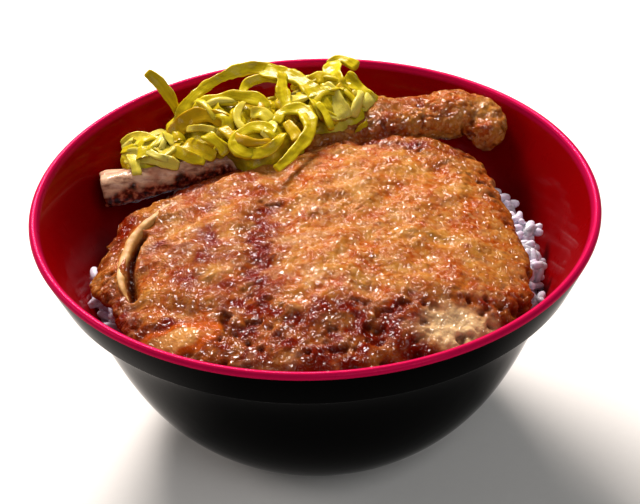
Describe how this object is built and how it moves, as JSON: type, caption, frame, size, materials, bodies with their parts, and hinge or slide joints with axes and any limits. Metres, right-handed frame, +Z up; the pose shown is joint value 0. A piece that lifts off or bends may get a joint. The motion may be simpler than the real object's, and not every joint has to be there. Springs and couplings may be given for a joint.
{
  "type": "pork chop rice bowl",
  "caption": "Lacquered bowl of steamed rice topped with a breaded fried pork chop on the bone and pickled mustard greens.",
  "frame": {"origin": "centre of the foot ring's underside, on the table", "axes": "+Z up out of the bowl, -Y towards the diner, so that the bone lies at the back left; +X to the diner's right"},
  "size_m": [0.18, 0.18, 0.0972],
  "materials": {
    "lacquer": "deep red gloss lacquer inside and on the lip, black gloss lacquer outside",
    "cooked_rice": "moist white grains",
    "fried_crust": "golden brown, craggy and oily",
    "cooked_bone": "browned, semi-matt",
    "pickled_greens": "wet, translucent yellow green"
  },
  "bodies": {
    "root": {"bowl": "lacquer", "rice": "cooked_rice", "pork_chop": "fried_crust", "rib_bone": "cooked_bone", "mustard_greens": "pickled_greens"}
  },
  "joints": []
}
